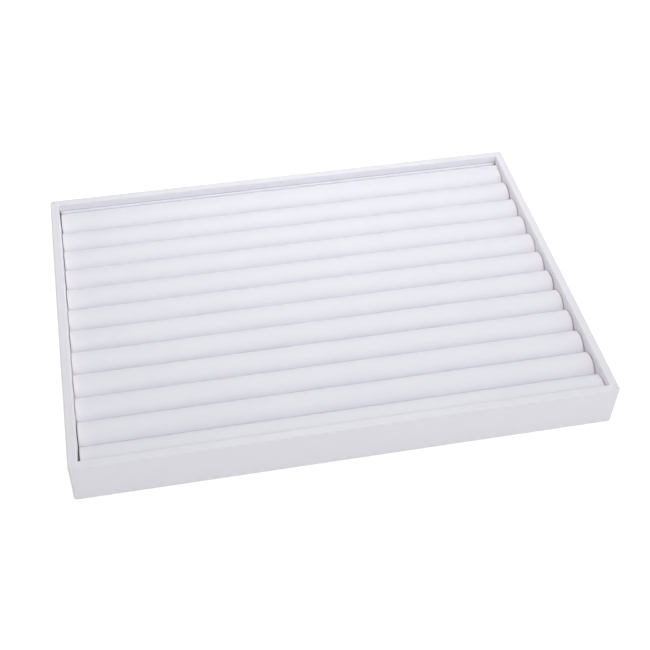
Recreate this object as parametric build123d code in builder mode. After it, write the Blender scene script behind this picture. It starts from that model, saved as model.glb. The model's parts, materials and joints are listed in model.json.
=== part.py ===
from build123d import *
import os

# Ring display tray: a shallow wrapped box, and a lift-out insert with a row of padded ring rolls.
# Millimetres. +X runs along the rolls, +Y to the back, +Z up, origin under the middle of the base.

os.makedirs("parts", exist_ok=True)

# Tray
tray_length = 350.0
tray_depth = 250.0
tray_height = 32.0
wrap_thickness = 0.4
wall_board = 5.0
corner_radius = 2.0
rim_radius = 0.8
base_liner_thickness = 0.6
base_liner_margin = 1.5
wrap_turn_in = 12.0
base_board_thickness = 3.6
floor_liner_thickness = 0.4

# Insert
insert_board_thickness = 2.8
insert_clearance = 0.3
left_gap = 0.8
right_gap = 0.8
roll_end_inset = 0.2
roll_count = 12
roll_pitch = 19.9
roll_radius = 9.9
roll_glue_flat = 0.3
roll_end_radius = 1.2
roll_cover_thickness = 0.8
roll_cover_slit = 3.0
front_roll_squeeze = 1.9
strip_card = 0.9
strip_cover = 0.4
strip_height = 18.5
strip_top_radius = 0.6

# Levels and inner faces worked out from the sizes above
wall_thickness = wall_board + 2 * wrap_thickness
inner_x = tray_length / 2 - wall_thickness
inner_y = tray_depth / 2 - wall_thickness
board_x = inner_x + wrap_thickness
board_y = inner_y + wrap_thickness
board_bottom = base_liner_thickness + wrap_thickness
base_top = board_bottom + base_board_thickness
floor_level = base_top + floor_liner_thickness
board_top = tray_height - wrap_thickness
insert_level = floor_level + insert_board_thickness

insert_left = -inner_x + left_gap
insert_right = inner_x - right_gap
insert_front = -inner_y + insert_clearance
insert_back = inner_y - insert_clearance
roll_left = insert_left + roll_end_inset
roll_right = insert_right - roll_end_inset
roll_axis_level = insert_level + roll_radius - roll_glue_flat
strip_thickness = strip_card + 2 * strip_cover
strip_face = insert_back - strip_thickness
front_roll_axis = insert_front + roll_radius - front_roll_squeeze


def save(piece, name):
    piece.part.label = name
    export_step(piece.part, f"parts/{name}.step")


def box_between(low, high, mode=Mode.ADD):
    """A block between two opposite corners, combined with the part being built."""
    with Locations(((low[0] + high[0]) / 2, (low[1] + high[1]) / 2, (low[2] + high[2]) / 2)):
        Box(high[0] - low[0], high[1] - low[1], high[2] - low[2], mode=mode)


# Underside liner: the sheet that hides the turned-in wrap, and the face that the tray rests on
with BuildPart() as base_liner:
    with BuildSketch(Plane.XY):
        RectangleRounded(
            tray_length - 2 * base_liner_margin, tray_depth - 2 * base_liner_margin, corner_radius
        )
    extrude(amount=base_liner_thickness)
save(base_liner, "base_liner")

# Base board: the stiff bottom between the four wall boards
with BuildPart() as base_board:
    box_between((-board_x, -board_y, board_bottom), (board_x, board_y, base_top))
save(base_board, "base_board")

# Floor liner: the thin sheet that the insert stands on
with BuildPart() as floor_liner:
    box_between((-inner_x, -inner_y, base_top), (inner_x, inner_y, floor_level))
save(floor_liner, "floor_liner")

# Long wall boards run the whole length, with their outer corners rounded
for name, side in (("front_wall", -1), ("back_wall", 1)):
    with BuildPart() as long_wall:
        with BuildSketch(Plane.XY.offset(board_bottom)):
            RectangleRounded(
                tray_length - 2 * wrap_thickness,
                tray_depth - 2 * wrap_thickness,
                corner_radius - wrap_thickness,
            )
            with Locations((0, side * (board_y + wall_board / 2))):
                Rectangle(tray_length, wall_board, mode=Mode.INTERSECT)
        extrude(amount=board_top - board_bottom)
    save(long_wall, name)

# Short wall boards are glued between the long ones
for name, side in (("left_wall", -1), ("right_wall", 1)):
    with BuildPart() as short_wall:
        near = side * board_x
        far = side * (board_x + wall_board)
        box_between((min(near, far), -board_y, board_bottom), (max(near, far), board_y, board_top))
    save(short_wall, name)

# Wrap: one thin skin over the outside, the rim and the inside of all four walls, turned in below
with BuildPart() as wall_wrap:
    with BuildSketch(Plane.XY.offset(base_liner_thickness)):
        RectangleRounded(tray_length, tray_depth, corner_radius)
    extrude(amount=tray_height - base_liner_thickness)
    with BuildSketch(Plane.XY.offset(base_top)):
        Rectangle(2 * inner_x, 2 * inner_y)
    extrude(amount=tray_height - base_top, mode=Mode.SUBTRACT)
    fillet(wall_wrap.edges().group_by(Axis.Z)[-1], rim_radius)
    with BuildSketch(Plane.XY.offset(board_bottom)):
        RectangleRounded(
            tray_length - 2 * wrap_thickness,
            tray_depth - 2 * wrap_thickness,
            corner_radius - wrap_thickness,
        )
    extrude(amount=base_top - board_bottom, mode=Mode.SUBTRACT)
    with BuildSketch(Plane.XY.offset(base_top)):
        RectangleRounded(
            tray_length - 2 * wrap_thickness,
            tray_depth - 2 * wrap_thickness,
            corner_radius - wrap_thickness,
        )
        Rectangle(2 * board_x, 2 * board_y, mode=Mode.SUBTRACT)
    extrude(amount=board_top - base_top, mode=Mode.SUBTRACT)
    with BuildSketch(Plane.XY.offset(base_liner_thickness)):
        Rectangle(tray_length - 2 * wrap_turn_in, tray_depth - 2 * wrap_turn_in)
    extrude(amount=wrap_thickness, mode=Mode.SUBTRACT)
save(wall_wrap, "wall_wrap")

# Insert board: the stiff sheet that all the rolls are glued to
with BuildPart() as insert_board:
    box_between(
        (insert_left, insert_front, floor_level), (insert_right, insert_back, insert_level)
    )
save(insert_board, "insert_board")

# Rear strip: a card standing on the insert board, with its own folded cover
strip_top = insert_level + strip_height
with BuildPart() as rear_strip:
    box_between(
        (roll_left + strip_cover, strip_face + strip_cover, insert_level),
        (roll_right - strip_cover, insert_back - strip_cover, strip_top - strip_cover),
    )
save(rear_strip, "rear_strip")

with BuildPart() as rear_strip_cover:
    box_between((roll_left, strip_face, insert_level), (roll_right, insert_back, strip_top))
    fillet(rear_strip_cover.edges().group_by(Axis.Z)[-1].filter_by(Axis.X), strip_top_radius)
    add(rear_strip.part, mode=Mode.SUBTRACT)
save(rear_strip_cover, "rear_strip_cover")

# Rolls, numbered from the back: a foam rod in a cover whose edges meet under it in a slit.
# The front one is squeezed flat against the front wall, the rear one against the strip.
for number in range(1, roll_count + 1):
    axis_y = front_roll_axis + (roll_count - number) * roll_pitch
    front_face = max(axis_y - roll_radius, insert_front)
    back_face = min(axis_y + roll_radius, strip_face)
    core_left = roll_left + roll_cover_thickness
    core_right = roll_right - roll_cover_thickness
    core_radius = roll_radius - roll_cover_thickness

    with BuildPart() as core:
        with BuildSketch(Plane.YZ.offset(core_left)):
            with Locations((axis_y, roll_axis_level)):
                Circle(core_radius)
        extrude(amount=core_right - core_left)
        box_between(
            (core_left, front_face + roll_cover_thickness, insert_level),
            (core_right, back_face - roll_cover_thickness, roll_axis_level + core_radius),
            mode=Mode.INTERSECT,
        )
    save(core, f"roll_core_{number:02d}")

    # The cover is a rod with rounded ends, cut flat where it is glued or squeezed, and hollowed
    roll_axis = Axis((0, axis_y, roll_axis_level), (1, 0, 0))
    half_section = Plane(roll_axis.position, x_dir=(1, 0, 0), z_dir=(0, -1, 0))
    with BuildPart() as cover:
        with BuildSketch(half_section) as half:
            with Locations(((roll_left + roll_right) / 2, roll_radius / 2)):
                Rectangle(roll_right - roll_left, roll_radius)
            fillet(half.vertices().group_by(Axis.Y)[-1], roll_end_radius)
        revolve(axis=roll_axis)
        box_between(
            (roll_left, front_face, insert_level),
            (roll_right, back_face, roll_axis_level + roll_radius),
            mode=Mode.INTERSECT,
        )
        add(core.part, mode=Mode.SUBTRACT)
        box_between(
            (core_left, axis_y - roll_cover_slit / 2, insert_level),
            (core_right, axis_y + roll_cover_slit / 2, insert_level + roll_cover_thickness),
            mode=Mode.SUBTRACT,
        )
    save(cover, f"roll_cover_{number:02d}")
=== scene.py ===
import json
from math import cos, exp, pi, radians, sin, sqrt

import bmesh
import bpy
from mathutils import Matrix, Vector, noise


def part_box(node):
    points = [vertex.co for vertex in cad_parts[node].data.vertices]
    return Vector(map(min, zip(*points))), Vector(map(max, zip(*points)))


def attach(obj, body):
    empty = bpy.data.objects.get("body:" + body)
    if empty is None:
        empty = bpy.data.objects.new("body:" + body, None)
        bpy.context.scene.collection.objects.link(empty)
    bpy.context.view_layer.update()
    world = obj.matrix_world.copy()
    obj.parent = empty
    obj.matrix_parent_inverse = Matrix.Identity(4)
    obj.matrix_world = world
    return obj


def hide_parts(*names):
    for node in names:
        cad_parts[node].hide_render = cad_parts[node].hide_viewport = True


# Ring display tray: the wrapped tray, its lift-out insert of padded rolls, and a plain studio.
# Everything is in metres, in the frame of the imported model.

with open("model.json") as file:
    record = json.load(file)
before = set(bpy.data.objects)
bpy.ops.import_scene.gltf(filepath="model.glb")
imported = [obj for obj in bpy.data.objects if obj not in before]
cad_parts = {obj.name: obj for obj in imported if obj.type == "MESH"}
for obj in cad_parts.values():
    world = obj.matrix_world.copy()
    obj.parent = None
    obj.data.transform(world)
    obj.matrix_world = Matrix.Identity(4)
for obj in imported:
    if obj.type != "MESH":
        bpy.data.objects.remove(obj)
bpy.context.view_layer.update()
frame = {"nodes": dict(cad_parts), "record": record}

MM = 0.001

# Sizes read from the frame
wrap_low, wrap_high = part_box("wall_wrap")
liner_low, liner_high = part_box("floor_liner")
strip_low, strip_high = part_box("rear_strip_cover")
half_x = wrap_high.x
half_y = wrap_high.y
rim_top = wrap_high.z
inner_x = liner_high.x
inner_y = liner_high.y
wall = half_x - inner_x
insert_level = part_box("insert_board")[1].z
roll_count = sum(name.startswith("roll_cover_") for name in frame["nodes"])


def wobble(x, y, z, scale):
    """Smooth noise between about -1 and 1, for a place in metres and a wavelength in metres."""
    return noise.noise(Vector((x / scale, y / scale, z / scale)))


def smooth_step(low, high, value):
    t = min(max((value - low) / (high - low), 0.0), 1.0)
    return t * t * (3 - 2 * t)


def mesh_object(name, points, faces):
    """A mesh object with outward normals and smooth shading."""
    mesh = bpy.data.meshes.new(name)
    mesh.from_pydata(points, [], faces)
    build = bmesh.new()
    build.from_mesh(mesh)
    bmesh.ops.recalc_face_normals(build, faces=build.faces)
    build.to_mesh(mesh)
    build.free()
    mesh.shade_smooth()
    piece = bpy.data.objects.new(name, mesh)
    bpy.context.scene.collection.objects.link(piece)
    return piece


def ring_faces(rings, points_per_ring, closed_rings):
    """Quads between neighbouring rings of points."""
    faces = []
    last = rings if closed_rings else rings - 1
    for ring in range(last):
        here = ring * points_per_ring
        there = ((ring + 1) % rings) * points_per_ring
        for i in range(points_per_ring):
            j = (i + 1) % points_per_ring
            faces.append((here + i, here + j, there + j, there + i))
    return faces


# Materials


class Nodes:
    """A material's node tree, with short calls for adding and linking nodes."""

    def __init__(self, name):
        self.material = bpy.data.materials.new(name)
        self.material.use_nodes = True
        self.tree = self.material.node_tree
        self.shader = self.tree.nodes["Principled BSDF"]
        self.place = self.add("ShaderNodeTexCoord").outputs["Object"]

    def add(self, kind, settings=None, **inputs):
        made = self.tree.nodes.new(kind)
        for key, value in (settings or {}).items():
            setattr(made, key, value)
        for key, value in inputs.items():
            socket = made.inputs[int(key[1:])] if key[0] == "i" and key[1:].isdigit() else made.inputs[key]
            self.set(socket, value)
        return made

    def set(self, socket, value):
        if isinstance(value, bpy.types.NodeSocket):
            self.tree.links.new(value, socket)
        else:
            socket.default_value = value

    def noise(self, scale, detail=2.0, place=None):
        made = self.add("ShaderNodeTexNoise", Vector=place or self.place, Scale=scale, Detail=detail)
        return made.outputs["Fac"]

    def math(self, operation, a, b=0.0):
        return self.add("ShaderNodeMath", {"operation": operation}, i0=a, i1=b).outputs[0]

    def ramp(self, value, low, high, out_low=0.0, out_high=1.0):
        made = self.add("ShaderNodeMapRange", {"interpolation_type": "SMOOTHSTEP"}, Value=value)
        limits = {"From Min": low, "From Max": high, "To Min": out_low, "To Max": out_high}
        for key, number in limits.items():
            made.inputs[key].default_value = number
        return made.outputs["Result"]

    def mix(self, factor, a, b):
        made = self.add("ShaderNodeMix", {"data_type": "RGBA"})
        self.set(made.inputs[0], factor)
        self.set(made.inputs[6], a)
        self.set(made.inputs[7], b)
        return made.outputs[2]

    def bump(self, height, distance, strength=1.0, normal=None):
        made = self.add("ShaderNodeBump", Height=height, Distance=distance, Strength=strength)
        if normal is not None:
            self.set(made.inputs["Normal"], normal)
        return made.outputs["Normal"]


# How far in from a roll's ends the leatherette gets painted light, a lighter and warmer tone, and shows
# its cut edge, and how strongly
painted_end_light_reach = 12 * MM
painted_end_light_share = 0.55
cut_starts = 1.1 * MM
cut_full = 0.2 * MM
cut_share = 0.8


def leatherette(name, light, shade, grain, depth, roughness, ends=None):
    """Pebbled synthetic leather: small cells, pores between them, and slow changes of tone."""
    n = Nodes(name)
    drift = n.add("ShaderNodeTexNoise", Vector=n.place, Scale=0.7 / grain, Detail=2.0).outputs["Color"]
    shifted = n.add("ShaderNodeVectorMath", {"operation": "MULTIPLY_ADD"}, i0=drift)
    shifted.inputs[1].default_value = (0.9 * grain, 0.9 * grain, 0.9 * grain)
    n.set(shifted.inputs[2], n.place)
    edges = {"feature": "DISTANCE_TO_EDGE"}
    cells = n.add("ShaderNodeTexVoronoi", edges, Vector=shifted.outputs[0], Scale=1 / grain)
    pebble = n.ramp(cells.outputs["Distance"], 0.0, 0.35)
    pores = n.noise(5.5 / grain, 3.0)
    height = n.math("ADD", n.math("MULTIPLY", pebble, 0.75), n.math("MULTIPLY", pores, 0.35))
    slow = n.noise(38.0, 3.0)
    # Painted shade: the crevices between the pebbles are tinted up to halfway towards the darker tone; the
    # slow tone changes are random
    tone = n.math("ADD", n.ramp(slow, 0.3, 0.7, 0.0, 0.3), n.ramp(pebble, 0.0, 0.7, 0.5, 0.0))
    colour = n.mix(tone, light, shade)
    if ends is not None:
        x = n.add("ShaderNodeSeparateXYZ", Vector=n.place).outputs["X"]
        reach = n.math("ABSOLUTE", n.math("SUBTRACT", x, ends["middle"]))
        # Painted light: a lighter, warmer tone near both ends of each roll
        painted_end_light = n.ramp(reach, ends["half"] - painted_end_light_reach, ends["half"], 0.0, painted_end_light_share)
        colour = n.mix(painted_end_light, colour, ends["painted_end_light"])
        cut = n.ramp(reach, ends["half"] - cut_starts, ends["half"] - cut_full, 0.0, cut_share)
        colour = n.mix(cut, colour, ends["cut"])
    n.set(n.shader.inputs["Base Color"], colour)
    polish = n.ramp(n.noise(900.0), 0.25, 0.75, roughness - 0.05, roughness + 0.06)
    n.set(n.shader.inputs["Roughness"], polish)
    n.shader.inputs["Specular IOR Level"].default_value = 0.35
    n.set(n.shader.inputs["Normal"], n.bump(height, depth))
    return n


def fibre_board(name, light, dark, grain):
    """Pressed wood or paper board: short flecks along one direction, and a slightly fuzzy face."""
    n = Nodes(name)
    stretched = n.add("ShaderNodeMapping", Vector=n.place)
    stretched.inputs["Scale"].default_value = (0.25, 1.0, 1.0)
    flecks = n.noise(1 / grain, 4.0, stretched.outputs[0])
    slow = n.noise(30.0, 2.0)
    tone = n.math("ADD", n.ramp(flecks, 0.35, 0.65, 0.0, 0.7), n.ramp(slow, 0.3, 0.7, 0.0, 0.3))
    n.set(n.shader.inputs["Base Color"], n.mix(tone, light, dark))
    n.set(n.shader.inputs["Roughness"], n.ramp(flecks, 0.3, 0.7, 0.78, 0.92))
    n.set(n.shader.inputs["Normal"], n.bump(flecks, 0.00015))
    return n


def felt(name, light, dark):
    """Thin felted sheet: matted fibres with small pills."""
    n = Nodes(name)
    fibres = n.noise(2600.0, 5.0)
    pills = n.noise(420.0, 2.0)
    height = n.math("ADD", fibres, n.math("MULTIPLY", pills, 0.6))
    n.set(n.shader.inputs["Base Color"], n.mix(n.ramp(fibres, 0.3, 0.7), light, dark))
    n.set(n.shader.inputs["Roughness"], n.ramp(pills, 0.3, 0.7, 0.85, 0.97))
    n.shader.inputs["Sheen Weight"].default_value = 0.25
    n.set(n.shader.inputs["Normal"], n.bump(height, 0.0002))
    return n


def foam(name, light, dark):
    """Fine open-celled foam."""
    n = Nodes(name)
    cells = n.add("ShaderNodeTexVoronoi", Vector=n.place, Scale=900.0).outputs["Distance"]
    # Painted shade: the pits of the cells, low in the bump, are tinted towards the dark colour
    n.set(n.shader.inputs["Base Color"], n.mix(n.ramp(cells, 0.1, 0.8), dark, light))
    n.set(n.shader.inputs["Roughness"], n.ramp(cells, 0.0, 1.0, 0.85, 0.95))
    n.set(n.shader.inputs["Normal"], n.bump(cells, 0.0004))
    return n


def paint(piece, made):
    piece.data.materials.clear()
    piece.data.materials.append(made.material)


# Tray wrap: one skin swept round the walls, over the rim and down the inside

wrap_skin = 0.4 * MM
wrap_bottom = wrap_low.z
wrap_outer_radius = 2.2 * MM
wrap_inner_radius = 0.5 * MM
wrap_rim_radius = 0.9 * MM
wrap_foot_radius = 0.5 * MM
wrap_turn_in = 12 * MM
long_steps = 60
short_steps = 44
corner_steps = 16
rim_steps = 18
seam_depth = 0.35 * MM
seam_width = 0.25 * MM
seam_pit_depth = 0.5 * MM
seam_pit_place = 0.3
seam_pit_width = 0.09
seam_dent = 0.12 * MM
rim_band = 0.2 * MM
rim_bead = 0.12 * MM
rim_unevenness = 0.04 * MM
face_unevenness = 0.07 * MM
# The corners with a deep fold, front right and back left, and how deep the fold is at the others
folded_corners = (0, 2)
faint_fold = 0.3
left_padding = 0.55 * MM
padding_run_out = 12 * MM


def wall_path():
    """Places round the tray: outer point, inner point, outward direction, corner number or None, turn."""
    path = []
    reach_x = half_x - wrap_outer_radius
    reach_y = half_y - wrap_outer_radius
    inner_reach_x = inner_x - wrap_inner_radius
    inner_reach_y = inner_y - wrap_inner_radius
    # The sides run anticlockwise seen from above: front, right, back, left
    sides = (
        (Vector((1, 0)), Vector((0, -1)), reach_x, reach_y, inner_reach_x, inner_reach_y, long_steps),
        (Vector((0, 1)), Vector((1, 0)), reach_y, reach_x, inner_reach_y, inner_reach_x, short_steps),
        (Vector((-1, 0)), Vector((0, 1)), reach_x, reach_y, inner_reach_x, inner_reach_y, long_steps),
        (Vector((0, -1)), Vector((-1, 0)), reach_y, reach_x, inner_reach_y, inner_reach_x, short_steps),
    )
    for corner, (along, out, reach, side, inner_reach, inner_side, steps) in enumerate(sides):
        for step in range(steps):
            s = -1 + 2 * step / steps
            outer = along * (s * reach) + out * (side + wrap_outer_radius)
            inner = along * (s * inner_reach) + out * (inner_side + wrap_inner_radius)
            path.append((outer, inner, out, None, 0.0))
        outer_centre = along * reach + out * side
        inner_centre = along * inner_reach + out * inner_side
        for step in range(corner_steps):
            turn = step / corner_steps
            way = out * cos(turn * pi / 2) + along * sin(turn * pi / 2)
            outer = outer_centre + way * wrap_outer_radius
            inner = inner_centre + way * wrap_inner_radius
            path.append((outer, inner, way, corner, turn))
    return path


def wall_section():
    """The skin's closed section: share of the wall's thickness inwards, and height."""
    rim = wrap_rim_radius / wall
    foot = wrap_foot_radius / wall
    skin = wrap_skin / wall
    section = [(wrap_turn_in / wall, wrap_bottom)]
    for step in range(5):
        angle = pi / 2 * step / 4
        section.append((foot * (1 - sin(angle)), wrap_bottom + wrap_foot_radius * (1 - cos(angle))))
    low = wrap_bottom + wrap_foot_radius
    high = rim_top - wrap_rim_radius
    for step in range(1, 14):
        section.append((0.0, low + (high - low) * step / 14))
    for step in range(7):
        angle = pi / 2 * step / 6
        section.append((rim * (1 - cos(angle)), high + wrap_rim_radius * sin(angle)))
    for step in range(1, rim_steps):
        section.append((rim + (1 - 2 * rim) * step / rim_steps, rim_top))
    for step in range(7):
        angle = pi / 2 * step / 6
        section.append((1 - rim * (1 - sin(angle)), high + wrap_rim_radius * cos(angle)))
    low = liner_low.z
    for step in range(1, 9):
        section.append((1.0, high + (low - high) * step / 8))
    top = rim_top - wrap_skin
    section += [(1 - skin, low), (1 - skin, top), (skin, top), (skin, wrap_bottom + wrap_skin)]
    section.append((wrap_turn_in / wall, wrap_bottom + wrap_skin))
    return section


def wall_point(outer, inner, out, corner, turn, share, height):
    """One point of the wrap, with the small unevenness of glued leatherette."""
    flat = outer.lerp(inner, share)
    x, y = flat
    lift = 0.0
    push = 0.0
    on_rim = 0 < share < 1 and height > rim_top - rim_band
    on_face = share <= 0 and wrap_bottom + MM < height < rim_top - MM
    if on_rim:
        bead = (2 * share - 1) ** 4
        lift += rim_bead * (bead - 0.5) + rim_unevenness * wobble(x, y, 0, 0.03)
    if on_face:
        push += face_unevenness * wobble(x, y, height, 0.05)
    if corner is None and out.x < -0.5 and height > wrap_bottom + MM:
        clear = inner_y - abs(y)
        x += left_padding * min(max(share, 0.0), 1.0) ** 2 * smooth_step(0.0, padding_run_out, clear)
    if corner is not None:
        strength = 1.0 if corner in folded_corners else faint_fold
        across = abs(turn - 0.5) * pi / 2 * wrap_outer_radius
        fold = exp(-((across / seam_width) ** 2)) * strength
        if on_rim:
            lift -= seam_depth * fold * (1 - 0.6 * share)
            pit = 0.0
            if strength == 1.0:
                pit = exp(-(((share - seam_pit_place) / seam_pit_width) ** 2))
            lift -= seam_pit_depth * fold * pit
        if on_face:
            push -= seam_dent * fold
    return (x + out.x * push, y + out.y * push, height + lift)


def make_tray_wrap():
    path = wall_path()
    section = wall_section()
    points = [wall_point(*place, share, height) for place in path for share, height in section]
    piece = mesh_object("tray_wrap", points, ring_faces(len(path), len(section), True))
    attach(piece, "tray")
    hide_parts("wall_wrap")
    return piece


# Rolls: foam rods in soft covers, lying side by side. One outline serves the cover and the rod in it.

cover_thickness = 0.8 * MM
rod_slack = 0.1 * MM
end_length = 5 * MM
end_rounding = 0.8 * MM
pressed_swell = 0.6 * MM
gathers = 17
gather_reach = 1.6 * MM
flank_gap = 0.02 * MM
squeezed_power = 0.68
end_bulge = 0.2 * MM
flank_round_share = 0.35
flank_wave = 0.2 * MM
flank_ripple = 0.08 * MM
crown_wave = 0.14 * MM
pleat_depth = 0.08 * MM
end_dish = 0.6 * MM
end_ripple = 0.176 * MM
station_steps = 14
# Free space left and right of each roll in millimetres, from the back one to the front one
left_clearance = (0.55, 0.35, 0.5, 0.45, 0.4, 0.25, 0.35, 0.2, 0.25, 0.25, 0.6, 0.9)
right_clearance = (0.3, 0.6, 0.4, 0.4, 0.35, 0.5, 0.5, 0.4, 0.55, 0.5, 0.55, 0.35)
# How far each valley lies behind its even place in millimetres, from the back one to the front one
valley_shift = (0.35, -0.3, 0.05, -0.15, -0.05, 0.15, 0.2, -0.45, -0.1, 0.2, 0.15)

roll_boxes = {number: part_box(f"roll_cover_{number:02d}") for number in range(1, roll_count + 1)}
roll_radius = (roll_boxes[2][1].y - roll_boxes[2][0].y) / 2
crown_level = roll_boxes[2][1].z
axis_level = crown_level - roll_radius


def flank(number, x):
    """The wavy line between this roll and the one in front of it, or the wall in front of all."""
    low = roll_boxes[number][0].y
    if number == roll_count:
        return low
    wave = flank_wave * wobble(x, 3.1 * number, 0.0, 0.09)
    ripple = flank_ripple * wobble(x, 5.3 * number, 1.0, 0.03)
    return low + valley_shift[number - 1] * MM + (wave + ripple)


def back_flank(number, x):
    if number == 1:
        return roll_boxes[1][1].y
    return flank(number - 1, x)


def roll_ends(number):
    left = -inner_x + left_padding + left_clearance[number - 1] * MM
    right = inner_x - right_clearance[number - 1] * MM
    return left, right


def roll_axis(number):
    low, high = roll_boxes[number]
    if number == roll_count:
        return high.y - roll_radius
    return low.y + roll_radius


def fuller(value, power):
    return abs(value) ** power * (1 if value > 0 else -1)


def roll_point(number, x, angle, ends, inset):
    """One point of a roll's skin: rounded off at the ends, pressed flat against its neighbours."""
    left, right = ends
    axis_y = roll_axis(number)
    side = sin(angle)
    up = cos(angle)
    squeezed = up > 0 and ((number == 1 and side > 0) or (number == roll_count and side < 0))
    power = squeezed_power if squeezed else 1.0
    distance = min(x - left, right - x)
    near = max(end_rounding - distance, 0.0)
    drop = end_rounding - sqrt(max(end_rounding**2 - near**2, 0.0))
    gather = exp(-((distance / gather_reach) ** 2))
    pleat = cos(gathers * angle + number) + 0.5 * cos(2.6 * gathers * angle + 2.0 * number)
    fold = pleat_depth * pleat * gather
    width = roll_radius + pressed_swell - flank_round_share * drop + fold - inset
    swell = crown_wave * wobble(x, 7.7 * number, 2.0, 0.07)
    height = roll_radius + swell - drop + fold - inset
    y = axis_y + fuller(side, power) * width
    y = max(min(y, back_flank(number, x) - flank_gap - inset), flank(number, x) + flank_gap + inset)
    z = max(axis_level + fuller(up, power) * height, insert_level + inset / 4)
    outward = -1 if x - left < right - x else 1
    bulge = min(end_bulge, 0.4 * (left + inner_x - left_padding), 0.4 * (inner_x - right))
    shift = outward * bulge * abs(side) ** 6 * gather if inset == 0 else 0.0
    return (x + shift, y, z)


def make_roll_shape(name, number, ends, inset, around, along):
    """A closed rod from left to right, with gathered and slightly dished discs at its ends."""
    left, right = ends
    distances = [end_length * (step / station_steps) ** 1.8 for step in range(station_steps)]
    straight = right - left - 2 * end_length
    middle = [left + end_length + straight * step / along for step in range(along + 1)]
    stations = [left + d for d in distances] + middle + [right - d for d in reversed(distances)]
    angles = [2 * pi * step / around for step in range(around)]
    points = [roll_point(number, x, angle, ends, inset) for x in stations for angle in angles]
    faces = ring_faces(len(stations), around, False)
    centre = Vector((roll_axis(number), axis_level))
    for start, sign in ((0, 1), ((len(stations) - 1) * around, -1)):
        last = start
        for share in (0.75, 0.5, 0.25, 0.08):
            here = len(points)
            for step, angle in enumerate(angles):
                px, py, pz = points[start + step]
                ripple = (1 - share) * share * cos(gathers * angle + number)
                depth = end_dish * (1 - share) + end_ripple * ripple
                inner = centre.lerp(Vector((py, pz)), share)
                points.append((px + sign * depth, inner.x, inner.y))
            for step in range(around):
                j = (step + 1) % around
                faces.append((last + step, last + j, here + j, here + step))
            last = here
        faces.append(tuple(last + step for step in range(around)))
    piece = mesh_object(name, points, faces)
    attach(piece, "insert")
    return piece


def make_roll(number):
    piece = make_roll_shape(f"roll_{number:02d}", number, roll_ends(number), 0.0, 96, 110)
    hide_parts(f"roll_cover_{number:02d}")
    return piece


def make_rod(number):
    inset = cover_thickness + rod_slack
    left, right = roll_ends(number)
    ends = (left + inset + MM, right - inset - MM)
    piece = make_roll_shape(f"foam_rod_{number:02d}", number, ends, inset, 48, 40)
    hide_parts(f"roll_core_{number:02d}")
    return piece


# Rear strip: a covered card standing behind the last roll, its cover cut off at both ends

strip_skin = 0.35 * MM
strip_top_radius = 0.8 * MM
strip_flare = 0.12 * MM
strip_unevenness = 0.1 * MM
strip_steps = 90


def make_strip():
    left = strip_low.x
    right = strip_high.x
    face = strip_low.y
    rear = strip_high.y
    top = strip_high.z
    middle_y = (face + rear) / 2
    half = (rear - face) / 2
    straight = top - strip_top_radius - insert_level
    section = [(face, insert_level + straight * step / 5) for step in range(5)]
    for step in range(9):
        angle = pi * step / 8
        section.append((middle_y - half * cos(angle), top - strip_top_radius * (1 - sin(angle))))
    outer = len(section)
    section += [(rear, insert_level), (rear - strip_skin, insert_level)]
    section += [(rear - strip_skin, top - strip_skin), (face + strip_skin, top - strip_skin)]
    section.append((face + strip_skin, insert_level))
    points = []
    for step in range(strip_steps + 1):
        x = left + (right - left) * step / strip_steps
        lean = strip_unevenness * max(wobble(x, 9.0, 0.0, 0.08), 0.0)
        dip = strip_unevenness * min(wobble(x, 2.0, 5.0, 0.06), 0.0)
        for i, (y, z) in enumerate(section):
            high = smooth_step(insert_level, top, z) if i < outer else 0.0
            flare = strip_flare if y > middle_y else 0.0
            points.append((x, y + (lean + flare) * high, z + dip * high))
    count = len(section)
    faces = ring_faces(strip_steps + 1, count, False)
    faces.append(tuple(range(count)))
    faces.append(tuple(strip_steps * count + i for i in range(count)))
    piece = mesh_object("strip_cover", points, faces)
    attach(piece, "insert")
    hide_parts("rear_strip_cover")
    return piece


tray_wrap = make_tray_wrap()
rolls = [make_roll(number) for number in range(1, roll_count + 1)]
rods = [make_rod(number) for number in range(1, roll_count + 1)]
strip = make_strip()

white_wall = (0.85, 0.845, 0.898, 1)
white_wall_shade = (0.82, 0.815, 0.868, 1)
white_roll = (0.86, 0.856, 0.915, 1)
white_roll_shade = (0.828, 0.824, 0.887, 1)

wall_finish = leatherette("wall_leatherette", white_wall, white_wall_shade, 0.8 * MM, 0.05 * MM, 0.5)
roll_end_tints = {
    "middle": 0.0,
    "half": inner_x - 0.9 * MM,
    # Painted light: the lighter, warmer tone near the roll ends
    "painted_end_light": (0.9, 0.876, 0.89, 1),
    "cut": (0.88, 0.84, 0.845, 1),
}
roll_finish = leatherette(
    "roll_leatherette", white_roll, white_roll_shade, 0.6 * MM, 0.04 * MM, 0.6, roll_end_tints
)
roll_finish.shader.inputs["Sheen Weight"].default_value = 0.1
paint(tray_wrap, wall_finish)
for roll in rolls:
    paint(roll, roll_finish)
paint(strip, roll_finish)

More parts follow.
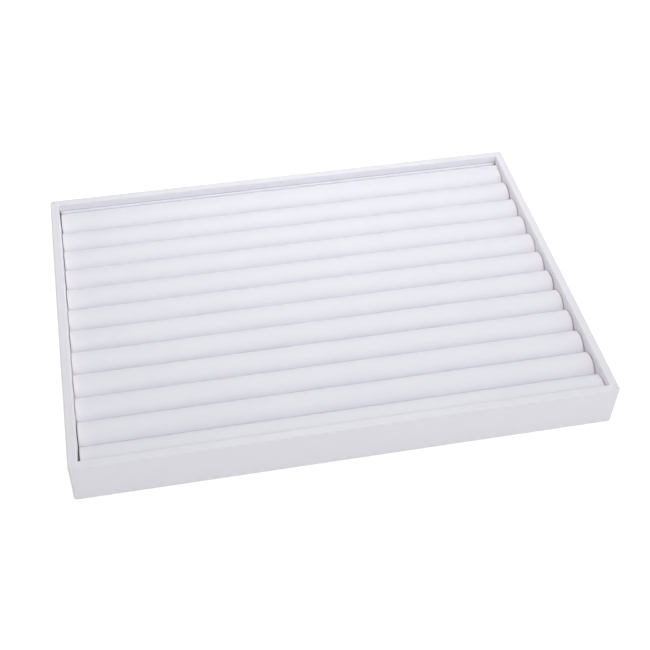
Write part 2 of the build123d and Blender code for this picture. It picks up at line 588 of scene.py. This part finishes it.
wood_finish = fibre_board("pressed_board", (0.42, 0.28, 0.16, 1), (0.3, 0.19, 0.1, 1), 0.5 * MM)
grey_board_finish = fibre_board("grey_board", (0.5, 0.47, 0.42, 1), (0.4, 0.37, 0.33, 1), 0.4 * MM)
card_finish = fibre_board("strip_card", (0.62, 0.5, 0.4, 1), (0.52, 0.4, 0.31, 1), 0.3 * MM)
paper_finish = fibre_board("floor_paper", (0.74, 0.74, 0.78, 1), (0.68, 0.68, 0.72, 1), 0.35 * MM)
felt_finish = felt("base_felt", (0.62, 0.62, 0.66, 1), (0.5, 0.5, 0.54, 1))
foam_finish = foam("roll_foam", (0.8, 0.79, 0.74, 1), (0.55, 0.54, 0.5, 1))
for rod in rods:
    paint(rod, foam_finish)
node_finish = {
    "board": wood_finish,
    "insert_board": grey_board_finish,
    "strip_card": card_finish,
    "floor_liner": paper_finish,
    "base_liner": felt_finish,
    "foam": foam_finish,
    "wall_leatherette": wall_finish,
    "roll_leatherette": roll_finish,
}
for part in frame["record"]["subparts"]:
    paint(frame["nodes"][part["node"]], node_finish[part["material_slot"]])


# Studio

camera_azimuth = radians(-11.533)
camera_elevation = radians(46.480)
camera_roll = radians(0.967)
camera_target = Vector((-12.029, -2.467, 0)) * MM
camera_distance = 0.805953
camera_lens = 63.016
camera_shift = 0.04328
sensor_width = 36


def make_camera():
    data = bpy.data.cameras.new("camera")
    data.sensor_width = sensor_width
    data.lens = camera_lens
    data.shift_x = camera_shift
    camera = bpy.data.objects.new("camera", data)
    bpy.context.scene.collection.objects.link(camera)
    back = Vector(
        (
            sin(camera_azimuth) * cos(camera_elevation),
            -cos(camera_azimuth) * cos(camera_elevation),
            sin(camera_elevation),
        )
    )
    right = Vector((cos(camera_azimuth), sin(camera_azimuth), 0))
    up = back.cross(right)
    across = right * cos(camera_roll) + up * sin(camera_roll)
    upright = back.cross(across)
    turn = Matrix((across, upright, back)).transposed().to_4x4()
    camera.matrix_world = Matrix.Translation(camera_target + back * camera_distance) @ turn
    bpy.context.scene.camera = camera


def area_light(name, place, size, power, aim=(0.0, 0.0, 0.0)):
    """A soft lamp facing the middle of the tray, or the point given."""
    data = bpy.data.lights.new(name, "AREA")
    data.shape = "RECTANGLE"
    data.size, data.size_y = size
    data.energy = power
    lamp = bpy.data.objects.new(name, data)
    bpy.context.scene.collection.objects.link(lamp)
    lamp.location = place
    lamp.rotation_mode = "QUATERNION"
    lamp.rotation_quaternion = (Vector(aim) - Vector(place)).to_track_quat("-Z", "Y")
    lamp.visible_camera = False


def seen_ray(tree):
    """1 for rays from the camera, and those seen in gloss or through glass."""
    path = tree.nodes.new("ShaderNodeLightPath")
    total = path.outputs["Is Camera Ray"]
    for name in ("Is Glossy Ray", "Is Transmission Ray"):
        add = tree.nodes.new("ShaderNodeMath")
        add.operation = "MAXIMUM"
        tree.links.new(total, add.inputs[0])
        tree.links.new(path.outputs[name], add.inputs[1])
        total = add.outputs[0]
    return total


world_level = 0.36
floor_glow = 0.6
floor_reach = 6.0
floor_gap = 0.02 * MM


def make_world():
    world = bpy.data.worlds.new("studio")
    world.use_nodes = True
    bpy.context.scene.world = world
    tree = world.node_tree
    light = tree.nodes["Background"]
    light.inputs["Color"].default_value = (1, 1, 1, 1)
    light.inputs["Strength"].default_value = world_level
    white = tree.nodes.new("ShaderNodeBackground")
    white.inputs["Strength"].default_value = 1.0
    white.inputs["Color"].default_value = (1, 1, 1, 1)
    mix = tree.nodes.new("ShaderNodeMixShader")
    tree.links.new(seen_ray(tree), mix.inputs[0])
    tree.links.new(light.outputs[0], mix.inputs[1])
    tree.links.new(white.outputs[0], mix.inputs[2])
    tree.links.new(mix.outputs[0], tree.nodes["World Output"].inputs["Surface"])


def make_floor():
    n = Nodes("floor_white")
    faint = n.mix(n.noise(6.0), (0.86, 0.86, 0.86, 1), (0.84, 0.84, 0.845, 1))
    n.set(n.shader.inputs["Base Color"], faint)
    n.shader.inputs["Roughness"].default_value = 0.9
    n.shader.inputs["Specular IOR Level"].default_value = 0.1
    glow = n.add("ShaderNodeEmission")
    n.set(glow.inputs["Strength"], n.math("MULTIPLY", seen_ray(n.tree), floor_glow))
    total = n.add("ShaderNodeAddShader")
    n.set(total.inputs[0], n.shader.outputs[0])
    n.set(total.inputs[1], glow.outputs[0])
    n.set(n.tree.nodes["Material Output"].inputs["Surface"], total.outputs[0])
    reach = floor_reach
    points = [(-reach, -reach, 0), (reach, -reach, 0), (reach, reach, 0), (-reach, reach, 0)]
    floor = mesh_object("floor", points, [(0, 1, 2, 3)])
    floor.location.z = -floor_gap
    paint(floor, n)


make_camera()
make_world()
make_floor()
area_light("key", (0.7, -2.2, 2.2), (0.9, 0.9), 8.0)
area_light("near_key", (-0.3, -1.2, 1.3), (0.6, 0.6), 3.5)
area_light("front_right_fill", (0.9, -0.9, 0.7), (0.8, 0.8), 2.8)
area_light("low_front", (0.0, -1.6, 0.35), (1.6, 0.5), 2.3)
area_light("over_back", (0.06, 0.2, 0.5), (0.3, 0.3), 1.15, (0.0, 0.1, 0.0))
area_light("back_fill", (0.0, 1.2, 0.5), (1.2, 0.4), 0.4)
area_light("low_back", (0.0, 1.6, 0.16), (1.6, 0.3), 2.0)
area_light("low_left", (-1.7, 0.0, 0.16), (0.3, 1.2), 1.8)
area_light("low_right", (1.7, 0.0, 0.16), (0.3, 1.2), 1.3)
bpy.context.scene.view_settings.view_transform = "Standard"
